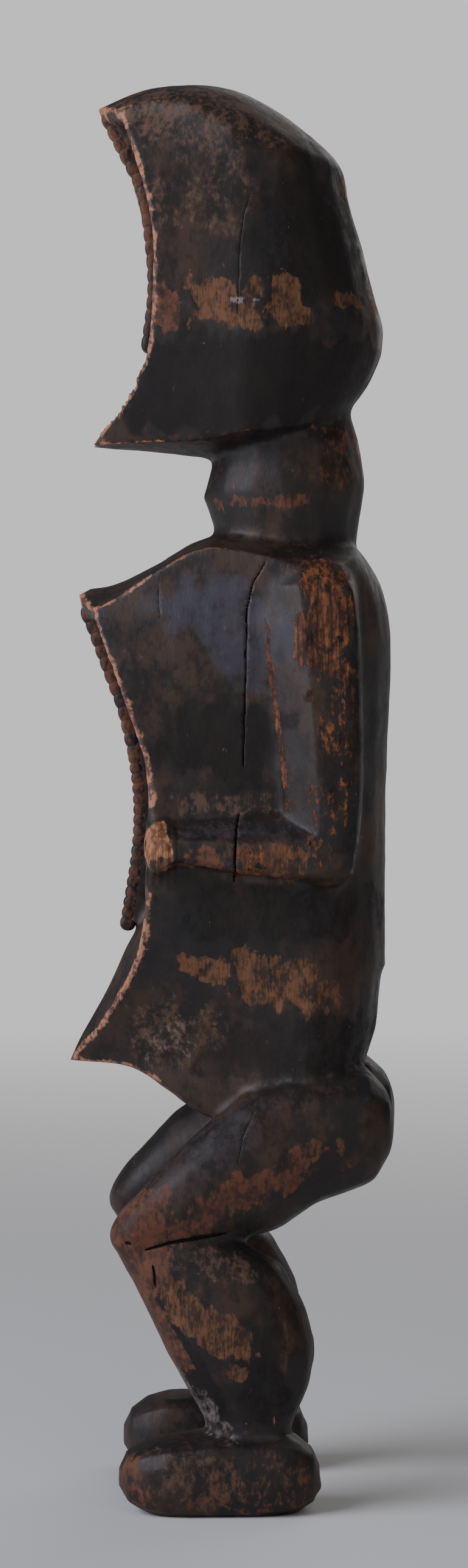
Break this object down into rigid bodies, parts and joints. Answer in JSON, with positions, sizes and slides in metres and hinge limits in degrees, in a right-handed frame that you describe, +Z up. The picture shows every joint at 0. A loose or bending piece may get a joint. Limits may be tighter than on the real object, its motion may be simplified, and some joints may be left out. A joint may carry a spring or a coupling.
{
  "type": "carved wooden standing figure",
  "caption": "Standing carved wooden figure with a crescent head, scooped face and body, notched middle ridges, folded arms, bent legs and blocky feet; rests on its soles",
  "frame": {"origin": "centre of the bounding box at floor height, between the feet", "axes": "+Z up through the head; the figure faces -Y; +X is the figure's own left side"},
  "size_m": [0.1164, 0.1176, 0.5],
  "materials": {
    "dark_wood": "dark patinated, semi-gloss, worn to red-brown and tan on arrises"
  },
  "bodies": {
    "root": {"figure": "dark_wood"}
  },
  "joints": []
}
